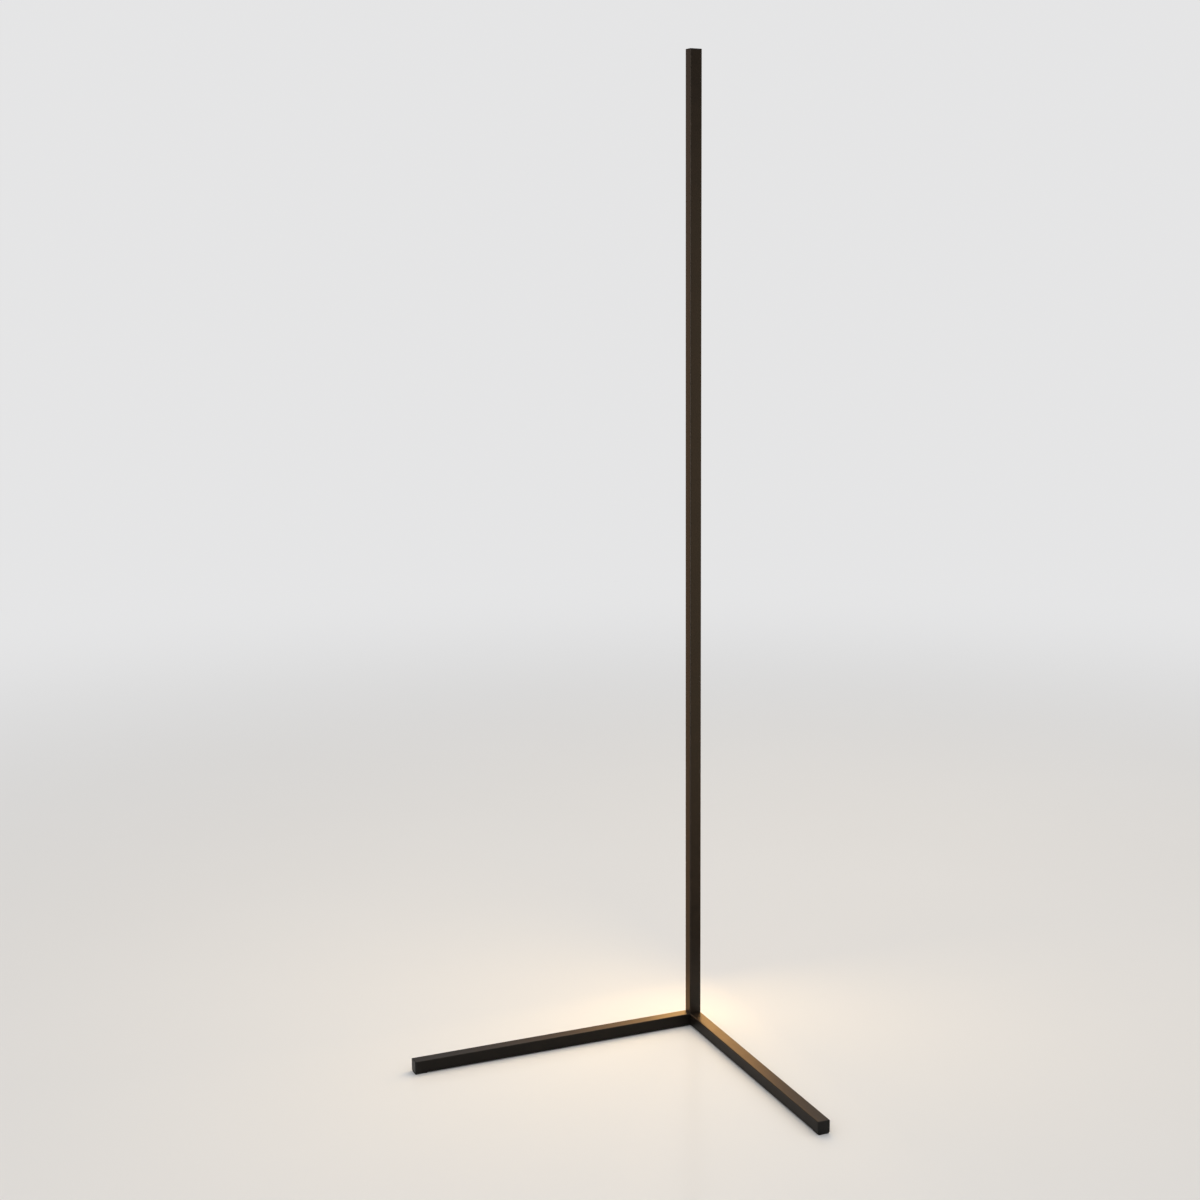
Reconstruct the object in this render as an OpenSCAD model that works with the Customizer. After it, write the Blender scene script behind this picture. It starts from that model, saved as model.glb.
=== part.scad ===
// Corner floor lamp: a slim square light column standing on the corner of two
// square floor legs at right angles. The light strip and its milky cover sit in
// the column's back corner and face +X +Y. Millimetres, +Z up. The origin is on
// the floor, under the column's centre line. The left leg runs along -X and the
// right leg along -Y.

/* [Overall] */
// Height from the floor to the top of the column
total_h = 1460; // [1200:10:1600]
// Side of the square section of the column and of both legs
section = 18; // [18:0.5:20]
// How far each leg reaches beyond the column's face
leg_reach = 432; // [300:2:480]
// Thickness of the rubber foot pads
pad_t = 1.5; // [1:0.25:3]

/* [Column] */
// Wall of the column extrusion
mast_wall = 1.4; // [1.2:0.1:1.6]
// Radius of the column's outer edges
mast_edge_r = 1.4; // [0.4:0.1:1.5]
// Thickness of the web that carries the light strip
web_t = 1.4; // [1.2:0.1:1.6]
// Thickness of the plate of the top cap
cap_plate = 2; // [1.5:0.5:4]
// Height of the block inside the foot of the column
foot_block_h = 52; // [48:1:58]

/* [Light strip] */
// Width of the flexible circuit board
board_w = 8; // [6:0.5:10]
// Light chips to the metre
chips_per_m = 60; // [30:6:120]
// Height of the strip's lower end above the floor
strip_z0 = 104; // [104:1:130]

/* [Legs] */
// Wall of the leg tubes
leg_wall = 1.5; // [1.2:0.1:1.6]
// Radius of the leg tubes' outer edges
leg_edge_r = 1.2; // [0.4:0.1:1.3]
// Thickness of the plate of each leg's end cap
end_plate = 2.5; // [2:0.5:4]
// Length of the arms of the corner key, from the column's centre line
key_arm = 42; // [42:1:50]

/* [Foot pads] */
// Length of the pads under the legs' ends
pad_l = 18; // [14:1:24]
// Width of the pads under the legs' ends
pad_w = 16; // [12:0.5:16]
// Distance of these pads from the legs' ends
pad_inset = 0.3; // [0.2:0.1:3]
// Side of the pad under the corner
corner_pad = 16; // [14:0.5:17]

/* [Power inlet] */
// Distance of the inlet from the column's centre line, along the left leg
inlet_x = 58; // [56:1:90]
// Radius of the inlet's centre pin
inlet_pin_r = 1.05; // [0.85:0.1:1.25]
// Radius of the inlet's bore
inlet_bore_r = 3; // [2.8:0.1:3.1]

/* [Wires] */
// Radius of the two inner wires over their insulation
wire_r = 0.75; // [0.6:0.05:0.78]

/* [Hidden] */
$fn = 48;
e = 0.01;
s2 = sqrt(2);
h = section / 2;
clear = 0.02;
leg_z0 = pad_t;
leg_z1 = pad_t + section;
leg_zc = pad_t + h;
leg_end = h + leg_reach;
mast_z0 = leg_z1;
mast_z1 = total_h - cap_plate;
in_h = h - mast_wall;
leg_in = h - leg_wall;
open_c = 1;
web_back = 0.9;
web_front = web_back + web_t;
bolt_t = -3.93;
bolt_xy = bolt_t / s2;
block_z1 = mast_z0 + foot_block_h;
block_screw_z = [block_z1 - 19.5, block_z1 - 7.5];
spigot_h = 18;
cap_screw_z = mast_z1 - 9;
strip_z1 = mast_z1 - 22;
board_t = 0.3;
board_face = web_front + board_t;
chip_pitch = 1000 / chips_per_m;
chip_z0 = strip_z0 + 8;
chip_n = floor((strip_z1 - 6 - chip_z0) / chip_pitch) + 1;
wire_hole_z = block_z1 + 11.5;
key_z0 = leg_z0 + leg_wall + 0.1;
key_z1 = leg_z1 - leg_wall;
seat_z = key_z1 - 8.4;
washer_t = 1.6;
head_h = 6;
bolt_len = 25;
bush_x = -5.5;
bush_y = 4.9;
leg_screw_at = [18, 34];

// A point given along the diagonal that faces the room corner (t), across it (c) and up (z)
function diag(t, c, z) = [(t - c) / s2, (t + c) / s2, z];

// Square with true round corners, centred
module round_square(w, r) {
    square([w, w - 2 * r], center = true);
    square([w - 2 * r, w], center = true);
    for (i = [-1, 1], j = [-1, 1])
        translate([i * (w / 2 - r), j * (w / 2 - r)]) circle(r);
}

// Rectangle with true round corners, centred
module round_rect(a, b, r) {
    square([a, b - 2 * r], center = true);
    square([a - 2 * r, b], center = true);
    for (i = [-1, 1], j = [-1, 1])
        translate([i * (a / 2 - r), j * (b / 2 - r)]) circle(r);
}

// Turns children so that their X axis points at the room corner
module to_corner() { rotate([0, 0, 45]) children(); }

// Cylinder along the diagonal, from t0 to t1, at c across and z up
module diag_cyl(t0, t1, c, z, r0, r1) {
    to_corner() translate([t0, c, z]) rotate([0, 90, 0])
        cylinder(h = t1 - t0, r1 = r0, r2 = r1);
}

// Section of the column: three and a half walls and the diagonal web
module mast_section() {
    difference() {
        round_square(section, mast_edge_r);
        square(2 * in_h, center = true);
        translate([open_c, open_c]) square(section);
        for (m = [0, 1]) mirror([m, -m, 0])
            translate([in_h - e, -1.5]) square([0.5 + e, 1.1]);
    }
    intersection() {
        square(2 * in_h + 0.2, center = true);
        rotate(45) translate([web_back, -section]) square([web_t, 2 * section]);
    }
}

// Section of the column's inner block and of the cap's plug
module plug_section() {
    rotate(45) polygon([
        [web_back - 0.1, -5.4], [web_back - 0.1, 5.4],
        [5.4 - in_h * s2 + 0.15, 5.4], [-9.4, in_h * s2 - 9.4 - 0.15],
        [-9.4, -(in_h * s2 - 9.4 - 0.15)], [5.4 - in_h * s2 + 0.15, -5.4]]);
}

// Section of the milky cover: two faces that complete the square, with a
// tongue and a snap barb inside each wall of the column
module diffuser_section() {
    i = in_h - 0.1;
    difference() {
        polygon([[h, h], [h, open_c + 0.1], [i, open_c + 0.1], [i, -0.45],
                 [i + 0.45, -0.45], [i + 0.45, -0.75], [i, -1.4],
                 [i - 1.1, -1.4], [i - 1.1, 2.3], [i, 3.4], [i, i],
                 [3.4, i], [2.3, i - 1.1], [-1.4, i - 1.1], [-1.4, i],
                 [-0.75, i + 0.45], [-0.45, i + 0.45], [-0.45, i],
                 [open_c + 0.1, i], [open_c + 0.1, h]]);
        translate([h - mast_edge_r, h - mast_edge_r]) difference() {
            square(2);
            circle(mast_edge_r);
        }
    }
}

// Countersunk M3 screw, tip towards +Z, head face at z = 0
module csk_screw(len) {
    difference() {
        union() {
            cylinder(h = 1.3, r1 = 2.75, r2 = 1.5);
            translate([0, 0, 1.3 - e]) cylinder(h = len - 1.3 - 0.5 + e, r = 1.5);
            translate([0, 0, len - 0.5]) cylinder(h = 0.5, r1 = 1.5, r2 = 1.1);
        }
        translate([0, 0, -1]) cylinder(h = 1.9, r = 1.15, $fn = 6);
    }
}

// Hole for a countersunk M3 screw, mouth at z = 0, through t of sheet
module csk_hole(t) {
    translate([0, 0, -e]) cylinder(h = 1.3 + e, r1 = 2.8 + e, r2 = 1.56);
    cylinder(h = t + e, r = 1.56);
}

module mast_profile() {
    color([0.1, 0.09, 0.08]) difference() {
        translate([0, 0, mast_z0])
            linear_extrude(height = mast_z1 - mast_z0) mast_section();
        for (z = concat(block_screw_z, [cap_screw_z])) {
            diag_cyl(web_back - 1, web_front + 1, 0, z, 1.56, 1.56);
            diag_cyl(web_front - 1.3, web_front + e, 0, z, 1.56, 2.81);
        }
        // slot for the wires
        for (z = [-5.5, 5.5])
            diag_cyl(web_back - 1, web_front + 1, 4.9, wire_hole_z + z, 2.6, 2.6);
        to_corner() translate([web_back - 1, 2.3, wire_hole_z - 5.5])
            cube([web_t + 2, 5.2, 11]);
    }
}

module light_diffuser() {
    color([0.96, 0.94, 0.88]) translate([0, 0, mast_z0])
        linear_extrude(height = mast_z1 - mast_z0) diffuser_section();
}

module led_strip_board() {
    color([0.93, 0.93, 0.9]) to_corner()
        translate([web_front, -board_w / 2, strip_z0])
            cube([board_t, board_w, strip_z1 - strip_z0]);
}

module led_chips() {
    color([0.98, 0.85, 0.35]) to_corner() for (i = [0:chip_n - 1])
        translate([board_face, -1.4, chip_z0 + i * chip_pitch - 1.75])
            cube([0.7, 2.8, 3.5]);
}

module strip_resistors() {
    color([0.15, 0.15, 0.16]) to_corner() for (i = [1:3:chip_n - 2])
        translate([board_face, -1.6, chip_z0 + (i + 0.5) * chip_pitch - 0.8])
            cube([0.55, 3.2, 1.6]);
}

// Solder at the two wires' upper ends on the strip, and at the inlet's two lugs
module solder_joints() {
    color([0.72, 0.72, 0.74]) {
        for (c = [-2.5, 2.5]) to_corner()
            translate([board_face, c - 0.9, strip_z0 + 2])
                difference() {
                    cube([1.3, 1.8, 3]);
                    translate([1.3, -1, 3]) rotate([0, -35, 0])
                        translate([-3, 0, 0]) cube([6, 4, 3]);
                }
        for (z = [leg_zc, leg_zc + 3.5])
            translate([-inlet_x + 0.25, -3.4, z]) rotate([0, 90, 0])
                cylinder(h = 0.75, r1 = 1, r2 = 0.7);
    }
}

module top_cap() {
    color([0.1, 0.09, 0.09]) difference() {
        union() {
            translate([0, 0, mast_z1]) {
                linear_extrude(height = cap_plate - 0.3)
                    round_square(section, mast_edge_r);
                translate([0, 0, cap_plate - 0.3]) linear_extrude(height = 0.3)
                    round_square(section - 0.4, mast_edge_r);
            }
            translate([0, 0, mast_z1 - spigot_h])
                linear_extrude(height = spigot_h + e) plug_section();
        }
        diag_cyl(-6.8, web_back, 0, cap_screw_z, 1.52, 1.52);
    }
}

module cap_screw() {
    color([0.2, 0.2, 0.21]) to_corner() translate([web_front, 0, cap_screw_z])
        rotate([0, -90, 0]) csk_screw(8);
}

module foot_block() {
    color([0.66, 0.67, 0.69]) difference() {
        translate([0, 0, mast_z0]) linear_extrude(height = foot_block_h)
            plug_section();
        translate([bolt_xy, bolt_xy, mast_z0 - e]) {
            cylinder(h = 20, r = 3 + clear);
            cylinder(h = 0.8, r1 = 3.8, r2 = 3 + clear);
            translate([0, 0, 20 - e]) cylinder(h = 1.7, r1 = 3 + clear, r2 = 0.01);
        }
        for (z = block_screw_z) diag_cyl(-6.8, web_back, 0, z, 1.52, 1.52);
    }
}

module foot_block_screws() {
    color([0.2, 0.2, 0.21]) to_corner() for (z = block_screw_z)
        translate([web_front, 0, z]) rotate([0, -90, 0]) csk_screw(8);
}

module mast_bolt() {
    color([0.16, 0.16, 0.17])
        translate([bolt_xy, bolt_xy, seat_z - washer_t - head_h]) difference() {
            union() {
                cylinder(h = 0.5, r1 = 4.5, r2 = 5);
                translate([0, 0, 0.5 - e]) cylinder(h = head_h - 0.5 + e, r = 5);
                translate([0, 0, head_h - e]) cylinder(h = bolt_len - 0.6 + e, r = 3);
                translate([0, 0, head_h + bolt_len - 0.6])
                    cylinder(h = 0.6, r1 = 3, r2 = 2.4);
            }
            translate([0, 0, -1]) cylinder(h = 4, r = 2.5 / cos(30), $fn = 6);
        }
}

module mast_bolt_washer() {
    color([0.6, 0.6, 0.62]) translate([bolt_xy, bolt_xy, seat_z - washer_t])
        difference() {
            cylinder(h = washer_t, r = 5);
            translate([0, 0, -1]) cylinder(h = washer_t + 2, r = 3.1);
            rotate([0, 0, 215]) translate([2, -0.6, -1]) cube([4, 1.2, washer_t + 2]);
        }
}

module corner_key() {
    k = leg_in - 0.1;
    color([0.55, 0.56, 0.58]) difference() {
        union() {
            translate([-key_arm, -k, key_z0]) cube([key_arm + k, 2 * k, key_z1 - key_z0]);
            translate([-k, -key_arm, key_z0]) cube([2 * k, key_arm + k, key_z1 - key_z0]);
        }
        // way for the column's bolt
        translate([bolt_xy, bolt_xy, key_z0 - 1]) {
            cylinder(h = section, r = 3.3);
            cylinder(h = seat_z - key_z0 + 1, r = 5.3);
        }
        // tapped holes for the legs' screws
        for (d = leg_screw_at) {
            translate([-d, 0, key_z0 - e]) cylinder(h = 9, r = 1.5 + clear);
            translate([0, -d, key_z0 - e]) cylinder(h = 9, r = 1.5 + clear);
        }
        // channel for the wires along the left arm
        translate([-key_arm - 1, 2.6, key_z1 - 7.6])
            cube([key_arm + 1 - 2.6, 10, 10]);
        translate([bush_x, bush_y, key_z1 - 7.6]) cylinder(h = 10, r = 2.7);
        // lightening pocket in the right arm
        translate([-4.5, -key_arm + 3, key_z1 - 4]) cube([9, key_arm - 16, 5]);
        // lead-in chamfers at the arms' ends
        for (m = [0, 1]) mirror([m, -m, 0]) for (j = [-1, 1])
            translate([-key_arm, j * k, key_z0 - 1]) rotate([0, 0, 45])
                cube([1.6, 1.6, section * 2], center = true);
    }
}

// A leg along -X, mitred at the corner
module leg_tube() {
    difference() {
        translate([-leg_end + end_plate, 0, leg_zc]) rotate([0, 90, 0])
            linear_extrude(height = leg_end - end_plate + h) difference() {
                round_square(section, leg_edge_r);
                square(2 * leg_in, center = true);
            }
        // mitre plane through the inner and the outer corner
        rotate([0, 0, 45]) translate([-3 * section, -6 * section, -section])
            cube([6 * section, 6 * section, 4 * section]);
        // bolt of the column: way for the head below, clearance above
        translate([bolt_xy, bolt_xy, leg_z0 - 1]) cylinder(h = leg_wall + 2, r = 5.5);
        translate([bolt_xy, bolt_xy, key_z1 - 1]) cylinder(h = leg_wall + 2, r = 3.3);
        for (d = leg_screw_at) translate([-d, 0, leg_z0]) csk_hole(leg_wall + 1);
    }
}

module left_leg() {
    color([0.12, 0.11, 0.1]) difference() {
        leg_tube();
        translate([bush_x, bush_y, key_z1 - 1]) cylinder(h = leg_wall + 2, r = 2.2);
        translate([-inlet_x, h - leg_wall - 1, leg_zc]) rotate([-90, 0, 0])
            cylinder(h = leg_wall + 2, r = 4);
    }
}

module right_leg() {
    color([0.12, 0.11, 0.1]) mirror([1, -1, 0]) leg_tube();
}

module leg_screws() {
    color([0.2, 0.2, 0.21]) for (d = leg_screw_at) {
        translate([-d, 0, leg_z0]) csk_screw(8);
        translate([0, -d, leg_z0]) csk_screw(8);
    }
}

// End cap of a leg along -X: a plate and a hollow plug with four pairs of ribs
module leg_cap() {
    p = 2 * leg_in - 0.8;
    translate([-leg_end, 0, leg_zc]) rotate([0, 90, 0]) {
        linear_extrude(height = 0.4) round_square(section - 0.6, leg_edge_r);
        translate([0, 0, 0.4 - e]) linear_extrude(height = end_plate - 0.4 + e)
            round_square(section, leg_edge_r);
        translate([0, 0, end_plate - e]) linear_extrude(height = 12) difference() {
            square(p, center = true);
            square(p - 3, center = true);
        }
        for (a = [0:90:270], q = [-3.5, 3.5]) rotate([0, 0, a])
            translate([p / 2 - e, q - 0.4, end_plate - e]) cube([0.4, 0.8, 10]);
    }
}

module left_leg_cap() { color([0.11, 0.11, 0.11]) leg_cap(); }

module right_leg_cap() { color([0.11, 0.11, 0.11]) mirror([1, -1, 0]) leg_cap(); }

// Pad under a leg's end, and the larger one under the corner
module end_pad() {
    translate([-leg_end + pad_inset + pad_l / 2, 0, 0]) {
        linear_extrude(height = 0.2) round_rect(pad_l - 0.4, pad_w - 0.4, 0.8);
        translate([0, 0, 0.2 - e]) linear_extrude(height = pad_t - 0.2 + e)
            round_rect(pad_l, pad_w, 1);
    }
}

module corner_foot_pad() {
    color([0.07, 0.07, 0.07]) {
        linear_extrude(height = 0.3) round_square(corner_pad - 0.6, 1.7);
        translate([0, 0, 0.3 - e]) linear_extrude(height = pad_t - 0.3 + e)
            round_square(corner_pad, 2);
    }
}

module left_foot_pad() { color([0.07, 0.07, 0.07]) end_pad(); }

module right_foot_pad() { color([0.07, 0.07, 0.07]) mirror([1, -1, 0]) end_pad(); }

// Inlet, axis along +Y: y = 0 is the outer face of the leg
module at_inlet() { translate([-inlet_x, h, leg_zc]) rotate([-90, 0, 0]) children(); }

module dc_socket() {
    color([0.08, 0.08, 0.08]) at_inlet() difference() {
        union() {
            cylinder(h = 1.2, r = 5.25);
            translate([0, 0, 1.2 - e]) cylinder(h = 0.3 + e, r1 = 5.25, r2 = 4.95);
            translate([0, 0, -10.5]) cylinder(h = 10.5 + e, r = 3.9);
        }
        translate([0, 0, -9]) cylinder(h = 12, r = inlet_bore_r);
        translate([0, 0, -11]) cylinder(h = 3, r = 0.8);
        // slot for the spring contact, on the upper side
        translate([-0.8, -3.5, -11]) cube([1.6, 0.6, 10]);
    }
}

module dc_socket_nut() {
    color([0.62, 0.63, 0.65]) at_inlet() translate([0, 0, -leg_wall - 2])
        difference() {
            cylinder(h = 2, r = 5 / cos(30), $fn = 6);
            translate([0, 0, -1]) cylinder(h = 4, r = 3.9 + clear);
        }
}

module dc_centre_pin() {
    color([0.75, 0.72, 0.6]) at_inlet() {
        translate([0, 0, -9]) cylinder(h = 8.2, r = inlet_pin_r);
        translate([0, 0, -0.8 - e]) cylinder(h = 0.5, r1 = inlet_pin_r, r2 = inlet_pin_r - 0.3);
        translate([0, 0, -10.5]) cylinder(h = 1.5 + e, r = 0.8);
        translate([-0.25, -1, -13.5]) cube([0.5, 2, 3 + e]);
    }
}

module dc_spring_contact() {
    color([0.75, 0.72, 0.6]) at_inlet() {
        translate([-0.75, -3.3, -10.9]) cube([1.5, 0.4, 9.6]);
        translate([-0.75, -4.5, -10.9]) cube([1.5, 1.2, 0.35]);
        translate([-0.25, -4.5, -13.5]) cube([0.5, 2, 2.65]);
    }
}

module wire_bush() {
    color([0.09, 0.09, 0.09]) translate([bush_x, bush_y, 0]) difference() {
        union() {
            translate([0, 0, key_z1 - 0.5]) cylinder(h = 0.5, r = 2.5);
            translate([0, 0, key_z1 - e]) cylinder(h = leg_wall + e, r = 2.2);
        }
        translate([0, 0, key_z1 - 2]) cylinder(h = 6, r = 1.72);
    }
}

// Points of a smooth curve through the route's own points, n steps to each stretch
function smooth(p, n) = let (m = len(p) - 1) concat(
    [for (i = [0:m - 1], k = [0:n - 1]) let (
        u = k / n,
        a = p[max(i - 1, 0)], b = p[i], c = p[i + 1], d = p[min(i + 2, m)])
        0.5 * ((2 * b) + (c - a) * u + (2 * a - 5 * b + 4 * c - d) * u * u
               + (3 * b - a - 3 * c + d) * u * u * u)],
    [p[m]]);
function unit(v) = v / norm(v);

// Tube of radius r with 8 sides along the points p
module tube(p, r) {
    k = 8;
    n = len(p);
    side = unit([0.55, 0.35, -0.75]);
    rings = [for (i = [0:n - 1]) let (
        t = unit(p[min(i + 1, n - 1)] - p[max(i - 1, 0)]),
        a = unit(cross(t, side)), b = cross(t, a))
        for (j = [0:k - 1]) p[i] + r * (cos(360 * j / k) * a + sin(360 * j / k) * b)];
    faces = concat(
        [[for (j = [0:k - 1]) j]],
        [[for (j = [k - 1:-1:0]) (n - 1) * k + j]],
        [for (i = [0:n - 2], j = [0:k - 1])
            [i * k + j, (i + 1) * k + j, (i + 1) * k + (j + 1) % k, i * k + (j + 1) % k]]);
    polyhedron(points = rings, faces = faces, convexity = 6);
}

lug_x = -inlet_x + 1;
positive_route = [
    [lug_x, -3.4, leg_zc], [lug_x + 3, -3.4, leg_zc],
    [-49.5, -1.4, leg_zc + 0.4], [-45.5, 2.1, leg_zc + 0.9], [-41.5, 4, leg_zc + 1.1],
    [-37, 4.2, leg_zc + 1.1], [-26, 4.2, leg_zc + 1.1], [-16, 4.2, leg_zc + 1.1],
    [-10.7, 4.2, leg_zc + 1.1], [-6.7, 4.2, leg_zc + 2.7], [-5.05, 4.2, leg_zc + 6.7],
    [-5.05, 4.2, mast_z0 + 6], [-5.05, 4.2, mast_z0 + 28], [-5.05, 4.2, block_z1 - 2],
    diag(-0.55, 5.7, wire_hole_z - 8), diag(0.1, 4.4, wire_hole_z - 3.5),
    diag(1.8, 4.05, wire_hole_z + 0.5), diag(3.1, 3.7, wire_hole_z + 4),
    diag(3.6, 2.6, wire_hole_z + 7.5), diag(3.6, 0.2, wire_hole_z + 11.5),
    diag(3.45, -1.9, wire_hole_z + 15.5), diag(3.38, -2.5, wire_hole_z + 19.5),
    diag(3.38, -2.5, strip_z0 + 2)];
negative_route = [
    [lug_x, -3.4, leg_zc + 3.5], [lug_x + 3, -3.4, leg_zc + 3.5],
    [-50, -0.8, leg_zc + 3.2], [-46, 3.2, leg_zc + 2.4], [-42, 5.3, leg_zc + 2],
    [-38, 5.6, leg_zc + 1.9], [-26, 5.6, leg_zc + 1.9], [-16, 5.6, leg_zc + 1.9],
    [-10.8, 5.6, leg_zc + 1.9], [-7.4, 5.6, leg_zc + 3.3], [-5.95, 5.6, leg_zc + 6.7],
    [-5.95, 5.6, mast_z0 + 6], [-5.95, 5.6, mast_z0 + 28], [-5.95, 5.6, block_z1 - 1],
    diag(-0.25, 7.6, wire_hole_z - 7), diag(0.2, 6.2, wire_hole_z - 2.5),
    diag(1.8, 5.75, wire_hole_z + 1.5), diag(3.1, 5.4, wire_hole_z + 5),
    diag(3.5, 4.4, wire_hole_z + 9), diag(3.42, 3.1, wire_hole_z + 13),
    diag(3.38, 2.5, wire_hole_z + 17.5), diag(3.38, 2.5, strip_z0 + 2)];

module wire_positive() { color([0.75, 0.08, 0.06]) tube(smooth(positive_route, 3), wire_r); }

module wire_negative() { color([0.06, 0.06, 0.06]) tube(smooth(negative_route, 3), wire_r); }

mast_profile();
light_diffuser();
led_strip_board();
led_chips();
strip_resistors();
solder_joints();
top_cap();
cap_screw();
foot_block();
foot_block_screws();
mast_bolt();
mast_bolt_washer();
corner_key();
left_leg();
right_leg();
leg_screws();
left_leg_cap();
right_leg_cap();
corner_foot_pad();
left_foot_pad();
right_foot_pad();
dc_socket();
dc_socket_nut();
dc_centre_pin();
dc_spring_contact();
wire_bush();
wire_positive();
wire_negative();
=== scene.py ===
"""Corner floor lamp: finishes, detailed pieces, studio floor, light and camera.

Metres, +Z up, origin on the floor under the column's centre line. The left leg
runs along -X and the right leg along -Y; the lit back corner faces +X +Y.
"""

import math

import bmesh
import bpy
from mathutils import Matrix, Vector


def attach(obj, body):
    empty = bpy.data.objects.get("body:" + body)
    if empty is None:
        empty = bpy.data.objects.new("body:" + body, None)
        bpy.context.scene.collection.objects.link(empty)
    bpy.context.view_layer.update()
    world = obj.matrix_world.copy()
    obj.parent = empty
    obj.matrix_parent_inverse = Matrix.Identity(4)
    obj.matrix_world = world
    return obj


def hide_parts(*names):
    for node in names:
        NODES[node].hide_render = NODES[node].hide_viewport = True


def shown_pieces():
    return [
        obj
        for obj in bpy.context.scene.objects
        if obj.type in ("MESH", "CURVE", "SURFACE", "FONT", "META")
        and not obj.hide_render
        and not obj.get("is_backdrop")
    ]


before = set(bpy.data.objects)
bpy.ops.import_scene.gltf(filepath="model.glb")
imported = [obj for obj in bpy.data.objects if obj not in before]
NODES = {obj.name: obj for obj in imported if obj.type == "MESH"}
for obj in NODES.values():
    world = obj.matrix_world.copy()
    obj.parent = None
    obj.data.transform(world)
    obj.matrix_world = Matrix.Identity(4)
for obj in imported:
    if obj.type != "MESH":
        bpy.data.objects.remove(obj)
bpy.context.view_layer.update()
scene = bpy.context.scene

MM = 0.001
H = 9 * MM              # half of the square section
LEG_Z0, LEG_Z1 = 1.5 * MM, 19.5 * MM
LEG_ZC = 10.5 * MM
TOP = 1460 * MM
CAP_Z = 1458 * MM
END = 441 * MM
S2 = math.sqrt(2)


# ---------------------------------------------------------------- camera
def make_camera():
    cam = bpy.data.cameras.new("photo_camera")
    cam.sensor_width = 36.0
    cam.sensor_fit = "HORIZONTAL"
    cam.lens = 60.537
    cam.shift_x = -0.18427
    cam.shift_y = 0.0
    cam.clip_start, cam.clip_end = 0.05, 400.0
    obj = bpy.data.objects.new("photo_camera", cam)
    scene.collection.objects.link(obj)
    right = Vector((0.8887505, -0.4582393, 0.0117979))
    up = Vector((0.0696493, 0.1604334, 0.9845863))
    back = -Vector((0.4530689, 0.8742299, -0.1745013))
    m = Matrix((right, up, back)).transposed().to_4x4()
    m.translation = (-1.192980, -2.715735, 1.191343)
    obj.matrix_world = m
    scene.camera = obj
    return obj


make_camera()


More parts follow.
